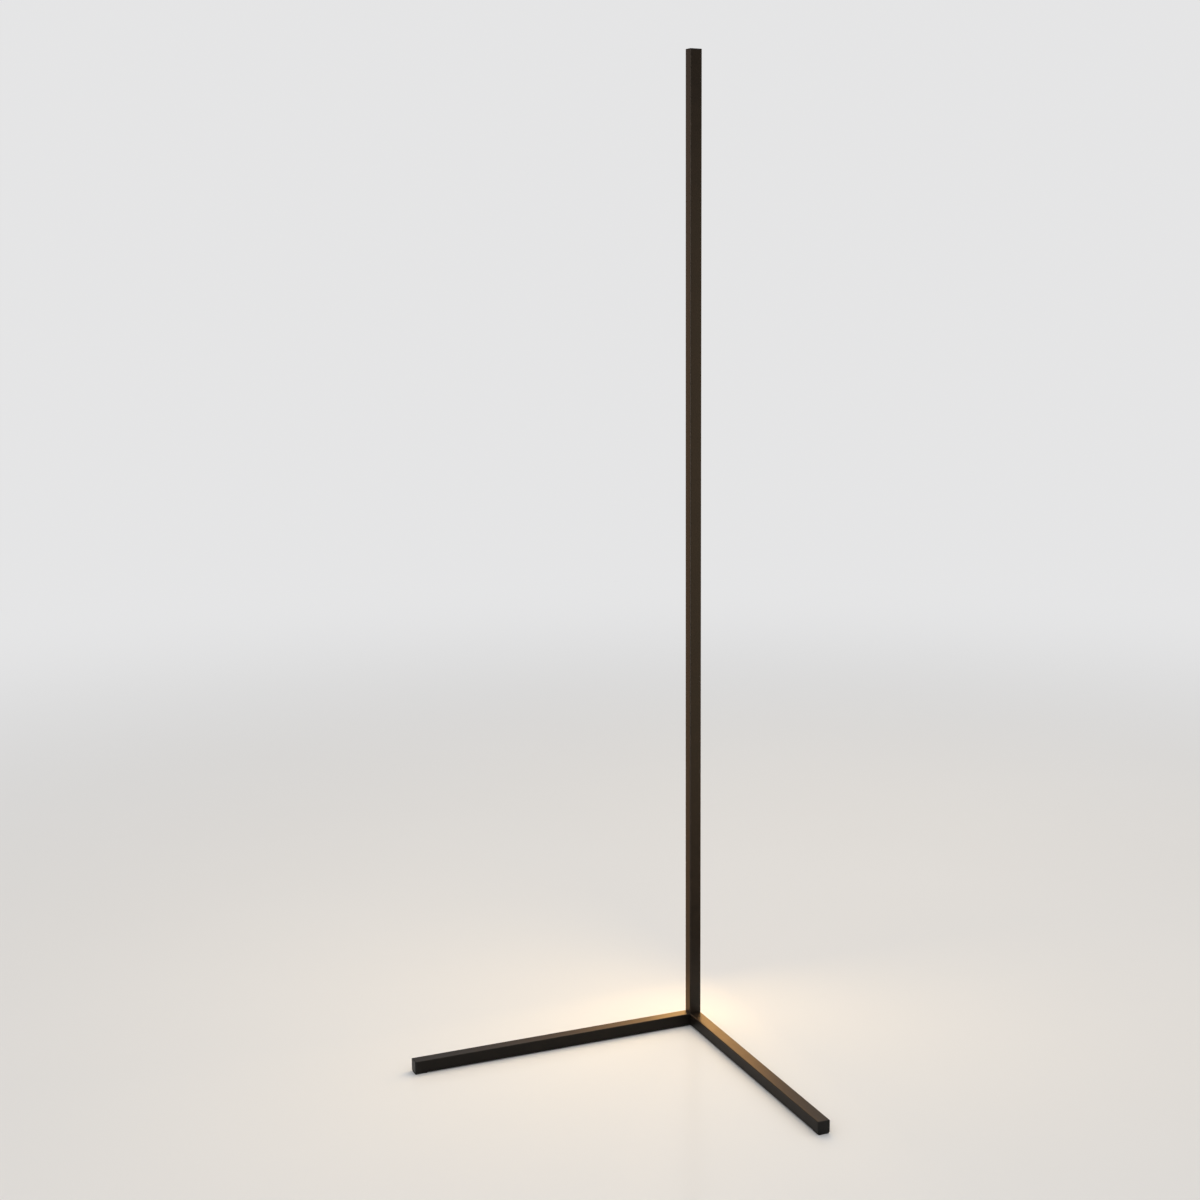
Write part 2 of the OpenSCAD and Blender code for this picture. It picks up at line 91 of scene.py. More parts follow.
# ---------------------------------------------------------------- materials
class Mat:
    """A node material around one Principled shader, with short helpers."""

    def __init__(self, name, rough=0.5, metal=0.0, spec=0.5, coat=0.0,
                 coat_rough=0.1, aniso=0.0, sss=0.0, sheen=0.0):
        self.mat = bpy.data.materials.new(name)
        self.mat.use_nodes = True
        self.nt = self.mat.node_tree
        self.nt.nodes.clear()
        self.out = self.nt.nodes.new("ShaderNodeOutputMaterial")
        self.p = self.nt.nodes.new("ShaderNodeBsdfPrincipled")
        self.nt.links.new(self.p.outputs[0], self.out.inputs["Surface"])
        self.set("Roughness", rough)
        self.set("Metallic", metal)
        self.set("Specular IOR Level", spec)
        self.set("Coat Weight", coat)
        self.set("Coat Roughness", coat_rough)
        self.set("Anisotropic", aniso)
        self.set("Subsurface Weight", sss)
        self.set("Sheen Weight", sheen)
        self.tc = self.nt.nodes.new("ShaderNodeTexCoord")
        self._xyz = None

    def set(self, socket, value):
        s = self.p.inputs[socket]
        if hasattr(value, "is_output"):
            self.nt.links.new(value, s)
        else:
            s.default_value = value

    def put(self, socket, value):
        if hasattr(value, "is_output"):
            self.nt.links.new(value, socket)
        else:
            socket.default_value = value

    def pos(self, scale=(1, 1, 1), offset=(0, 0, 0)):
        """The place on the part, in metres, times scale."""
        n = self.nt.nodes.new("ShaderNodeVectorMath")
        n.operation = "MULTIPLY_ADD"
        self.nt.links.new(self.tc.outputs["Object"], n.inputs[0])
        n.inputs[1].default_value = scale
        n.inputs[2].default_value = offset
        return n.outputs[0]

    def xyz(self):
        if self._xyz is None:
            n = self.nt.nodes.new("ShaderNodeSeparateXYZ")
            self.nt.links.new(self.tc.outputs["Object"], n.inputs[0])
            self._xyz = n.outputs
        return self._xyz

    def noise(self, scale, vec=None, detail=3.0, rough=0.55, distort=0.0):
        n = self.nt.nodes.new("ShaderNodeTexNoise")
        n.noise_dimensions = "3D"
        self.nt.links.new(vec if vec is not None else self.pos(), n.inputs["Vector"])
        n.inputs["Scale"].default_value = scale
        n.inputs["Detail"].default_value = detail
        n.inputs["Roughness"].default_value = rough
        n.inputs["Distortion"].default_value = distort
        return n.outputs[0]

    def cells(self, scale, vec=None, feature="F1", smooth=0.0):
        n = self.nt.nodes.new("ShaderNodeTexVoronoi")
        n.feature = feature
        self.nt.links.new(vec if vec is not None else self.pos(), n.inputs["Vector"])
        n.inputs["Scale"].default_value = scale
        if feature == "SMOOTH_F1":
            n.inputs["Smoothness"].default_value = smooth
        return n.outputs["Distance"]

    def math(self, op, a, b=0.0, c=0.0, clamp=False):
        n = self.nt.nodes.new("ShaderNodeMath")
        n.operation = op
        n.use_clamp = clamp
        self.put(n.inputs[0], a)
        self.put(n.inputs[1], b)
        self.put(n.inputs[2], c)
        return n.outputs[0]

    def remap(self, v, a, b, c, d, smooth=False):
        n = self.nt.nodes.new("ShaderNodeMapRange")
        n.interpolation_type = "SMOOTHSTEP" if smooth else "LINEAR"
        n.clamp = True
        self.put(n.inputs["Value"], v)
        self.put(n.inputs["From Min"], a)
        self.put(n.inputs["From Max"], b)
        self.put(n.inputs["To Min"], c)
        self.put(n.inputs["To Max"], d)
        return n.outputs[0]

    def mix(self, f, a, b, blend="MIX"):
        n = self.nt.nodes.new("ShaderNodeMix")
        n.data_type = "RGBA"
        n.blend_type = blend
        self.put(n.inputs[0], f)
        self.put(n.inputs[6], a if hasattr(a, "is_output") else (*a, 1.0))
        self.put(n.inputs[7], b if hasattr(b, "is_output") else (*b, 1.0))
        return n.outputs[2]

    def bump(self, height, strength, distance, normal=None):
        n = self.nt.nodes.new("ShaderNodeBump")
        n.inputs["Strength"].default_value = strength
        n.inputs["Distance"].default_value = distance
        self.nt.links.new(height, n.inputs["Height"])
        if normal is not None:
            self.nt.links.new(normal, n.inputs["Normal"])
        return n.outputs[0]

    def edges(self, centre, half, width):
        """1 along the edges of a block, 0 on its faces; a band of that width."""
        near = []
        for i in range(3):
            if half[i] is None:
                continue
            d = self.math("ABSOLUTE", self.math("SUBTRACT", self.xyz()[i], centre[i]))
            near.append(self.remap(d, half[i] - width, half[i] - 0.15 * width, 0, 1, True))
        total = None
        for i in range(len(near)):
            for j in range(i + 1, len(near)):
                m = self.math("MULTIPLY", near[i], near[j])
                total = m if total is None else self.math("MAXIMUM", total, m)
        return total


def powder_black(name, centre, half, base, tint, rough, along, grain=1.0,
                 spec=0.2, wear=0.4):
    """Black satin finish on metal: fine texture, slow variation, faint lines
    along the bar, and slightly worn edges whose lighter band is partly wear and partly a painted edge highlight."""
    m = Mat(name, spec=spec)
    slow = m.noise(9.0, detail=2.0)
    cloud = m.noise(70.0, detail=3.0)
    fine = m.noise(1900.0 * grain, detail=2.0, rough=0.6)
    stretch = [1400.0, 1400.0, 1400.0]
    stretch[along] = 6.0
    lines = m.noise(1.0, vec=m.pos(tuple(stretch)), detail=2.0, rough=0.7)
    dark = tuple(c * 0.82 for c in base)
    col = m.mix(m.remap(slow, 0.3, 0.7, 0, 1), dark, base)
    col = m.mix(m.remap(cloud, 0.35, 0.7, 0, 0.5), col, tint)
    col = m.mix(m.remap(fine, 0.45, 0.75, 0, 0.35), col, tuple(c * 1.9 for c in base))
    # lighter band along the edges: partly rubbed wear, partly a painted edge highlight
    e = m.edges(centre, half, 0.9 * MM)
    rub = m.math("MULTIPLY", e, m.remap(m.noise(140.0, detail=4.0, rough=0.7), 0.42, 0.66, 0.15, 1))
    rub = m.math("MULTIPLY", rub, wear)
    col = m.mix(rub, col, (0.075, 0.072, 0.07))
    m.set("Base Color", col)
    r = m.math("ADD", m.remap(cloud, 0.3, 0.7, rough - 0.035, rough + 0.035),
               m.remap(lines, 0.3, 0.7, -0.02, 0.03))
    r = m.math("ADD", r, m.remap(fine, 0.3, 0.7, -0.02, 0.02))
    r = m.math("SUBTRACT", r, m.math("MULTIPLY", rub, 0.12))
    m.set("Roughness", r)
    n = m.bump(fine, 0.16, 0.05 * MM)
    n = m.bump(lines, 0.08, 0.03 * MM, n)
    m.set("Normal", n)
    return m.mat


def moulded_black(name, centre, half, base=(0.0085, 0.0080, 0.0074), rough=0.5,
                  spec=0.2, wear=0.3):
    """Black moulded plastic with a fine spark-eroded texture."""
    m = Mat(name, spec=spec)
    slow = m.noise(45.0, detail=3.0)
    pits = m.cells(1500.0, feature="SMOOTH_F1", smooth=0.6)
    fine = m.noise(3200.0, detail=2.0)
    col = m.mix(m.remap(slow, 0.3, 0.7, 0, 1), tuple(c * 0.8 for c in base),
                tuple(c * 1.25 for c in base))
    e = m.edges(centre, half, 0.7 * MM) if half else None
    if e is not None:
        rub = m.math("MULTIPLY", e, m.remap(m.noise(230.0, detail=4.0), 0.4, 0.65, 0.1, wear))
        col = m.mix(rub, col, (0.06, 0.06, 0.058))
    m.set("Base Color", col)
    m.set("Roughness", m.math("ADD", m.remap(slow, 0.3, 0.7, rough - 0.04, rough + 0.05),
                              m.remap(pits, 0.1, 0.6, 0.03, -0.03)))
    n = m.bump(pits, 0.12, 0.04 * MM)
    m.set("Normal", m.bump(fine, 0.08, 0.02 * MM, n))
    return m.mat


def rubber(name, base=(0.014, 0.0135, 0.013)):
    m = Mat(name, spec=0.3, sheen=0.08)
    m.set("Sheen Roughness", 0.6)
    slow = m.noise(120.0, detail=4.0, rough=0.65)
    grit = m.noise(1600.0, detail=3.0, rough=0.7)
    col = m.mix(m.remap(slow, 0.35, 0.7, 0, 1), base, tuple(c * 2.2 for c in base))
    dust = m.remap(grit, 0.62, 0.75, 0, 0.5)
    m.set("Base Color", m.mix(dust, col, (0.09, 0.088, 0.083)))
    m.set("Roughness", m.remap(slow, 0.3, 0.7, 0.72, 0.88))
    m.set("Normal", m.bump(grit, 0.3, 0.06 * MM))
    return m.mat


def milky_lit(name):
    """Milky cover, lit from inside: warm white, a little dimmer past the
    strip's ends and towards the cover's sides, with a faint beat of the chips."""
    m = Mat(name, spec=0.4)
    x, y, z = m.xyz()[0], m.xyz()[1], m.xyz()[2]
    m.set("Roughness", m.remap(m.noise(60.0, detail=3.0), 0.3, 0.7, 0.34, 0.46))
    low = m.remap(z, 18 * MM, 128 * MM, 0.40, 1.0, True)
    high = m.remap(z, 1424 * MM, 1458 * MM, 1.0, 0.62, True)
    along = m.math("MULTIPLY", low, high)
    side = m.remap(m.math("MINIMUM", x, y), 0.8 * MM, 5.0 * MM, 0.80, 1.0, True)
    beat = m.math("COSINE", m.math("MULTIPLY", m.math("SUBTRACT", z, 112 * MM),
                                   2 * math.pi / (16.667 * MM)))
    beat = m.remap(beat, -1, 1, 0.965, 1.02)
    mott = m.remap(m.noise(22.0, detail=3.0), 0.3, 0.7, 0.975, 1.02)
    glow = m.math("MULTIPLY", m.math("MULTIPLY", along, side), m.math("MULTIPLY", beat, mott))
    warm = m.mix(glow, (1.0, 0.50, 0.18), (1.0, 0.70, 0.36))
    m.set("Emission Color", warm)
    m.set("Emission Strength", m.math("MULTIPLY", glow, 0.95))
    m.set("Base Color", m.mix(m.remap(m.noise(400.0, detail=3.0), 0.3, 0.7, 0, 1),
                              (0.62, 0.58, 0.50), (0.66, 0.62, 0.54)))
    lines = m.noise(1.0, vec=m.pos((1500.0, 1500.0, 5.0)), detail=2.0)
    m.set("Normal", m.bump(lines, 0.08, 0.03 * MM))
    return m.mat


def bare_metal(name, a, b, rough, along=2, stretch=8.0, aniso=0.3, fine=1200.0,
               stain=None):
    """Bare or plated metal: tool lines along one axis, slow colour variation."""
    m = Mat(name, metal=1.0, aniso=aniso)
    slow = m.noise(160.0, detail=4.0, rough=0.6)
    st = [fine, fine, fine]
    st[along] = stretch
    lines = m.noise(1.0, vec=m.pos(tuple(st)), detail=3.0, rough=0.7)
    col = m.mix(m.remap(slow, 0.35, 0.7, 0, 1), a, b)
    if stain:
        col = m.mix(m.remap(m.noise(420.0, detail=5.0, rough=0.75), 0.55, 0.75, 0, 0.6), col, stain)
    m.set("Base Color", col)
    m.set("Roughness", m.math("ADD", m.remap(lines, 0.3, 0.7, rough - 0.07, rough + 0.07),
                              m.remap(slow, 0.3, 0.7, -0.03, 0.05)))
    m.set("Normal", m.bump(lines, 0.15, 0.02 * MM))
    return m.mat


def plastic(name, a, b, rough=0.42, fine=900.0, spec=0.5, coat=0.0):
    m = Mat(name, spec=spec, coat=coat, coat_rough=0.2)
    slow = m.noise(240.0, detail=3.0)
    f = m.noise(fine, detail=2.0)
    m.set("Base Color", m.mix(m.remap(slow, 0.3, 0.7, 0, 1), a, b))
    m.set("Roughness", m.remap(f, 0.3, 0.7, rough - 0.06, rough + 0.08))
    m.set("Normal", m.bump(f, 0.12, 0.03 * MM))
    return m.mat


def strip_board(name):
    """White solder mask over two wide tracks, a cut line every 50 mm, and bare
    copper pads on both sides of it."""
    m = Mat(name, spec=0.5)
    x, y, z = m.xyz()[0], m.xyz()[1], m.xyz()[2]
    c = m.math("ABSOLUTE", m.math("MULTIPLY", m.math("SUBTRACT", y, x), 1 / math.sqrt(2)))
    turn = m.math("FRACT", m.math("MULTIPLY", m.math("SUBTRACT", z, 128.667 * MM), 20.0))
    dz = m.math("MULTIPLY", m.math("ABSOLUTE", m.math("SUBTRACT", turn, 0.5)), 50 * MM)
    dc = m.math("ABSOLUTE", m.math("SUBTRACT", c, 2.5 * MM))
    pad = m.math("MULTIPLY", m.remap(dz, 2.2 * MM, 2.35 * MM, 1, 0), m.remap(dc, 1.05 * MM, 1.2 * MM, 1, 0))
    cut = m.remap(dz, 0.08 * MM, 0.16 * MM, 1, 0)
    track = m.remap(dc, 1.2 * MM, 1.35 * MM, 1, 0)
    slow, fine = m.noise(90.0, detail=3.0), m.noise(1100.0, detail=2.0)
    white = m.mix(m.remap(slow, 0.3, 0.7, 0, 1), (0.80, 0.80, 0.76), (0.86, 0.86, 0.83))
    white = m.mix(m.math("MULTIPLY", track, 0.5), white, (0.76, 0.74, 0.68))
    copper = m.mix(m.remap(fine, 0.3, 0.7, 0, 1), (0.62, 0.36, 0.19), (0.78, 0.50, 0.28))
    col = m.mix(pad, white, copper)
    m.set("Base Color", m.mix(cut, col, (0.10, 0.10, 0.10)))
    m.set("Metallic", m.math("MULTIPLY", pad, m.remap(cut, 0, 1, 1, 0)))
    m.set("Roughness", m.math("ADD", m.remap(fine, 0.3, 0.7, 0.32, 0.42), m.math("MULTIPLY", pad, -0.06)))
    high = m.math("SUBTRACT", m.math("MULTIPLY", track, 0.6), m.math("ADD", m.math("MULTIPLY", pad, 0.8), cut))
    m.set("Normal", m.bump(high, 0.5, 0.03 * MM, m.bump(fine, 0.1, 0.02 * MM)))
    return m.mat


def wear(obj, mat):
    """Puts mat in all of the object's material slots."""
    if not obj.material_slots:
        obj.data.materials.append(mat)
    for s in obj.material_slots:
        s.material = mat


BLACK = (0.0080, 0.0066, 0.0052)
BRONZE = (0.0150, 0.0110, 0.0075)
wear(NODES["mast_profile"],
     powder_black("mast_satin_black", (0, 0, 0), (H, H, None), BLACK, BRONZE, 0.34, 2))
wear(NODES["left_leg"],
     powder_black("left_leg_satin_black", (0, 0, LEG_ZC), (None, H, H), BLACK, BRONZE, 0.36, 0))
wear(NODES["right_leg"],
     powder_black("right_leg_satin_black", (0, 0, LEG_ZC), (H, None, H), BLACK, BRONZE, 0.36, 1))
RUBBER = rubber("foot_rubber")
wear(NODES["wire_bush"], RUBBER)
wear(NODES["light_diffuser"], milky_lit("milky_cover_lit"))
wear(NODES["led_strip_board"], strip_board("strip_white_mask"))
CHIP_BODY = plastic("chip_housing", (0.82, 0.82, 0.80), (0.88, 0.88, 0.86), 0.4)
PHOSPHOR = plastic("chip_phosphor", (0.90, 0.66, 0.13), (0.95, 0.74, 0.20), 0.5)
RESISTOR = plastic("resistor_ceramic", (0.02, 0.02, 0.022), (0.035, 0.035, 0.038), 0.3)
TIN = bare_metal("solder_tin", (0.62, 0.62, 0.63), (0.74, 0.74, 0.75), 0.26, fine=500.0, stretch=500.0,
                 aniso=0.0)
wear(NODES["foot_block"], bare_metal("block_aluminium", (0.60, 0.61, 0.63), (0.70, 0.71, 0.73), 0.36))
wear(NODES["corner_key"], bare_metal("key_zinc_steel", (0.44, 0.45, 0.46), (0.56, 0.57, 0.58), 0.38,
                                     along=0, stain=(0.42, 0.40, 0.33)))
BLACK_OXIDE = bare_metal("screw_black_oxide", (0.035, 0.035, 0.038), (0.07, 0.07, 0.075), 0.42,
                         fine=700.0, stretch=700.0, aniso=0.0, stain=(0.14, 0.12, 0.10))
ZINC = bare_metal("washer_zinc", (0.55, 0.56, 0.58), (0.68, 0.69, 0.70), 0.33, fine=800.0, stretch=800.0, aniso=0.0)
NICKEL = bare_metal("contact_nickel", (0.60, 0.57, 0.50), (0.72, 0.69, 0.60), 0.22, fine=900.0, stretch=60.0, along=1)
wear(NODES["dc_centre_pin"], NICKEL)
wear(NODES["dc_spring_contact"], NICKEL)
RED_PVC = plastic("wire_red_pvc", (0.42, 0.018, 0.012), (0.52, 0.03, 0.018), 0.36)
BLACK_PVC = plastic("wire_black_pvc", (0.012, 0.012, 0.012), (0.02, 0.02, 0.02), 0.36)


# ---------------------------------------------------------------- pieces
def diag(t, c, z):
    """A point given along the diagonal that faces the room corner, across it and up, in mm."""
    return Vector(((t - c) / S2 * MM, (t + c) / S2 * MM, z * MM))


def square_ring(hx, hy, r, steps=5, marks=()):
    """Points round a rectangle with round corners. marks are extra places
    (s, push) along every side, moved outward by push."""
    pts = []
    for k in range(4):
        a = k * math.pi / 2
        n, t = (round(math.cos(a)), round(math.sin(a))), (-round(math.sin(a)), round(math.cos(a)))
        reach, along = (hx, hy) if k % 2 == 0 else (hy, hx)
        for s, push in marks:
            pts.append((n[0] * (reach + push) + t[0] * s, n[1] * (reach + push) + t[1] * s))
        cx = n[0] * (reach - r) + t[0] * (along - r)
        cy = n[1] * (reach - r) + t[1] * (along - r)
        for i in range(steps + 1):
            b = a + math.pi / 2 * i / steps
            pts.append((cx + r * math.cos(b), cy + r * math.sin(b)))
    return pts


def turned(rows, seg, place):
    """Rings of a turned body. A row is (along, radius), and the radius may be a
    function of the angle and the place along the axis."""
    out = []
    for a, r in rows:
        ring = []
        for i in range(seg):
            th = 2 * math.pi * i / seg
            rr = r(th, a) if callable(r) else r
            ring.append(place(a, rr * math.cos(th), rr * math.sin(th)))
        out.append(ring)
    return out


def loft(bm, rows, closed=False, paint=None):
    """Closed skin through the rings; paint gives the material index of a band."""
    made = [[bm.verts.new(p) for p in row] for row in rows]
    n = len(made[0])
    pairs = list(zip(made, made[1:])) + ([(made[-1], made[0])] if closed else [])
    for k, (a, b) in enumerate(pairs):
        for i in range(n):
            j = (i + 1) % n
            f = bm.faces.new((a[i], a[j], b[j], b[i]))
            if paint:
                f.material_index = paint(k)
    if not closed:
        ends = (bm.faces.new(list(reversed(made[0]))), bm.faces.new(made[-1]))
        if paint:
            ends[0].material_index = paint(0)
            ends[1].material_index = paint(len(pairs) - 1)
    return made


def combine(first, second, operation):
    """Union or difference of two closed meshes."""
    objs = []
    for b in (first, second):
        bmesh.ops.recalc_face_normals(b, faces=b.faces)
        me = bpy.data.meshes.new("work")
        b.to_mesh(me)
        b.free()
        o = bpy.data.objects.new("work", me)
        scene.collection.objects.link(o)
        objs.append(o)
    mod = objs[0].modifiers.new("combine", "BOOLEAN")
    mod.operation = operation
    mod.solver = "EXACT"
    mod.object = objs[1]
    bpy.context.view_layer.update()
    dg = bpy.context.evaluated_depsgraph_get()
    me = bpy.data.meshes.new_from_object(objs[0].evaluated_get(dg))
    out = bmesh.new()
    out.from_mesh(me)
    bpy.data.meshes.remove(me)
    for o in objs:
        me = o.data
        bpy.data.objects.remove(o)
        bpy.data.meshes.remove(me)
    return out


def piece(name, bm, mats, node, angle=32):
    """A finished piece in the CAD node's place."""
    bmesh.ops.recalc_face_normals(bm, faces=bm.faces)
    me = bpy.data.meshes.new(name)
    bm.to_mesh(me)
    bm.free()
    for m in mats:
        me.materials.append(m)
    for p in me.polygons:
        p.use_smooth = p.area < 4e-6    # the large flats keep their own straight shading
    me.set_sharp_from_angle(angle=math.radians(angle))
    o = bpy.data.objects.new(name, me)
    scene.collection.objects.link(o)
    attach(o, "root")
    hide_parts(node)
    return o


def block(bm, corner_points, index=0):
    """A closed block from its four lower and four upper corners."""
    v = [bm.verts.new(p) for p in corner_points]
    for q in ((0, 3, 2, 1), (4, 5, 6, 7), (0, 1, 5, 4), (1, 2, 6, 5), (2, 3, 7, 6), (3, 0, 4, 7)):
        f = bm.faces.new([v[i] for i in q])
        f.material_index = index


UP = (0, 0, 1)


def along(origin, axis, side):
    """Places (along, u, v) in mm on an axis; u runs along side."""
    o, a = Vector(origin), Vector(axis).normalized()
    u = Vector(side).normalized()
    v = a.cross(u)
    return lambda d, p, q: o + (a * d + u * p + v * q) * MM


# The legs' end caps: a plate with rounded front edges, a fine groove at the tube,
# and a hollow plug with a pair of crush ribs on each side
RIB_AT = (-3.95, -3.85, -3.15, -3.05, 3.05, 3.15, 3.85, 3.95)
PLAIN = tuple((s * MM, 0.0) for s in RIB_AT)
RIBBED = tuple((s * MM, 0.38 * MM if 3.1 < abs(s) < 3.9 else 0.0) for s in RIB_AT)


def leg_end_cap(name, node, place, mat):
    round_r = 0.45
    rows = [(0, 8.1, 0.7, PLAIN)]
    for i in range(7):
        a = math.radians(15 * i)
        rows.append((round_r * (1 - math.cos(a)), 9 - round_r + round_r * math.sin(a),
                     0.75 + 0.45 * math.sin(a), PLAIN))
    rows += [(2.38, 9, 1.2, PLAIN), (2.5, 8.88, 1.12, PLAIN), (2.5, 7.1, 0.5, RIBBED),
             (12.0, 7.1, 0.5, RIBBED), (12.6, 7.1, 0.5, PLAIN), (14.1, 7.1, 0.5, PLAIN),
             (14.5, 6.8, 0.4, PLAIN), (14.5, 5.75, 0.3, PLAIN), (14.35, 5.6, 0.3, PLAIN),
             (2.6, 5.55, 0.3, PLAIN)]
    rings = []
    for d, half, r, marks in rows:
        rings.append([place(d * MM, v, w)
                      for v, w in square_ring(half * MM, half * MM, r * MM, 5, marks)])
    bm = bmesh.new()
    loft(bm, rings)
    return piece(name, bm, [mat], node)


LEFT_CAP_MAT = moulded_black("left_cap_plastic", (-END + 1.25 * MM, 0, LEG_ZC), (1.25 * MM, H, H))
RIGHT_CAP_MAT = moulded_black("right_cap_plastic", (0, -END + 1.25 * MM, LEG_ZC), (H, 1.25 * MM, H))
leg_end_cap("left_leg_end_cap", "left_leg_cap",
            lambda d, v, w: (-END + d, v, LEG_ZC + w), LEFT_CAP_MAT)
leg_end_cap("right_leg_end_cap", "right_leg_cap",
            lambda d, v, w: (v, -END + d, LEG_ZC + w), RIGHT_CAP_MAT)


# The column's top cap: plate with rounded upper edges over a plug
def column_top_cap():
    rows = [(1458.0, 8.88, 1.3), (1458.1, 9, 1.4)]
    round_r = 0.4
    for i in range(6):
        a = math.radians(18 * i)
        rows.append((1460 - round_r * (1 - math.sin(a)), 9 - round_r * (1 - math.cos(a)),
                     1.4 - 0.35 * (1 - math.cos(a))))
    rings = [[(x, y, z * MM) for x, y in square_ring(h * MM, h * MM, r * MM, 5)] for z, h, r in rows]
    plate = bmesh.new()
    loft(plate, rings)
    outline = [(0.8, -5.4), (0.8, 5.4), (-5.198, 5.4), (-9.4, 1.198), (-9.4, -1.198), (-5.198, -5.4)]
    plug = bmesh.new()
    loft(plug, [[diag(-4.2 + (t + 4.2) * k, c * k, z) for t, c in outline]
                for k, z in ((0.93, 1440), (1.0, 1440.8), (1.0, 1458.6))])
    whole = combine(plate, plug, "UNION")
    drill = bmesh.new()
    loft(drill, turned([(-6.8, 0.2), (-6.0, 1.45), (0.6, 1.45), (0.82, 1.75), (1.5, 1.75)], 32,
                       along(diag(0, 0, 1449), (1, 1, 0), UP)))
    whole = combine(whole, drill, "DIFFERENCE")
    mat = moulded_black("top_cap_plastic", (0, 0, 1459 * MM), (H, H, 1 * MM))
    return piece("column_top_cap", whole, [mat], "top_cap")


column_top_cap()


# Rubber pads with rounded lower edges
def foot_pad(name, node, hx, hy, cx, cy, r=1.0):
    rows = [(0.0, 0.2), (0.015, 0.12), (0.06, 0.06), (0.12, 0.015), (0.2, 0.0), (1.22, 0.0), (1.25, 0.1),
            (1.5, 0.1)]
    rings = [[(cx + x, cy + y, z * MM)
              for x, y in square_ring(hx - d * MM, hy - d * MM, (r - d) * MM, 7)] for z, d in rows]
    bm = bmesh.new()
    loft(bm, rings)
    return piece(name, bm, [RUBBER], node)


foot_pad("left_end_pad", "left_foot_pad", 9 * MM, 8 * MM, -431.7 * MM, 0)
foot_pad("right_end_pad", "right_foot_pad", 8 * MM, 9 * MM, 0, -431.7 * MM)
foot_pad("corner_pad", "corner_foot_pad", 8 * MM, 8 * MM, 0, 0, 2.0)


# Screws, bolt and washer
def hexagon(apothem):
    return lambda th, a: apothem / math.cos(th % (math.pi / 3) - math.pi / 6)


def thread(major, depth, pitch, a0, a1, per=6, lead=None):
    """Rows of an outside thread from a0 to a1."""
    lead = pitch if lead is None else lead

    def r(th, a):
        x = abs((a / pitch - th / (2 * math.pi)) % 1.0 - 0.5) * 2
        cut = min(max((0.85 - x) / 0.65, 0.0), 1.0)
        return major - depth * cut * min(max((a - a0) / lead, 0.0), 1.0)

    n = max(2, round((a1 - a0) / pitch * per))
    return [(a0 + (a1 - a0) * i / n, r) for i in range(n + 1)]


CSK_ROWS = ([(1.2, 0.12), (0.9, hexagon(0.99)), (0.12, hexagon(0.99)), (0, 1.22), (0, 2.58), (0.06, 2.68),
             (1.3, 1.5)] + thread(1.5, 0.29, 0.5, 1.4, 7.45) + [(8.0, 1.1)])


def csk_screws(name, node, places):
    bm = bmesh.new()
    for origin, axis, side in places:
        loft(bm, turned(CSK_ROWS, 24, along(origin, axis, side)))
    return piece(name, bm, [BLACK_OXIDE], node)


csk_screws("leg_key_screws", "leg_screws",
           [((-d * MM, 0, LEG_Z0), UP, (1, 0, 0)) for d in (18, 34)]
           + [((0, -d * MM, LEG_Z0), UP, (0, 1, 0)) for d in (18, 34)])
csk_screws("foot_block_fasteners", "foot_block_screws",
           [(diag(2.3, 0, z), (-1, -1, 0), UP) for z in (52, 64)])
csk_screws("cap_fastener", "cap_screw", [(diag(2.3, 0, 1449), (-1, -1, 0), UP)])


def column_bolt():
    def knurl(th, a):
        return 5.0 - 0.13 * (round(th / (2 * math.pi) * 72) % 2)

    rows = ([(3.7, 0.25), (3.0, hexagon(2.5)), (0.2, hexagon(2.5)), (0, 3.0), (0, 4.4), (0.14, 4.62),
             (0.5, 4.87), (0.62, knurl), (5.35, knurl), (5.5, 4.87), (6.0, 4.8), (6.0, 3.2), (6.12, 3.0)]
            + thread(3.0, 0.55, 1.0, 6.3, 30.35) + [(31.0, 2.4)])
    bm = bmesh.new()
    x = -3.93 / S2 * MM
    loft(bm, turned(rows, 72, along((x, x, 2 * MM), UP, (1, 0, 0))))
    return piece("column_bolt", bm, [BLACK_OXIDE], "mast_bolt")


column_bolt()


def bolt_washer():
    """Split spring washer: a bar of nearly square section bent round, with slanted ends."""
    bm = bmesh.new()
    x = -3.93 / S2 * MM
    section = [(3.1, 0.15), (3.25, 0.0), (4.85, 0.0), (5.0, 0.15), (5.0, 1.45), (4.85, 1.6), (3.25, 1.6), (3.1, 1.45)]
    rows, n = [], 72
    for i in range(n + 1):
        part = i / n
        ring = []
        for r, z in section:
            th = math.radians(215 + 8.5 + 343 * part + (z / 1.6 - 0.5) * 9)
            ring.append((x + r * MM * math.cos(th), x + r * MM * math.sin(th), (8.0 + z) * MM))
        rows.append(ring)
    loft(bm, rows)
    return piece("bolt_spring_washer", bm, [ZINC], "mast_bolt_washer")


bolt_washer()


# Power inlet: threaded barrel with a rounded flange, and its nut
INLET = along((-58 * MM, H, LEG_ZC), (0, 1, 0), (1, 0, 0))


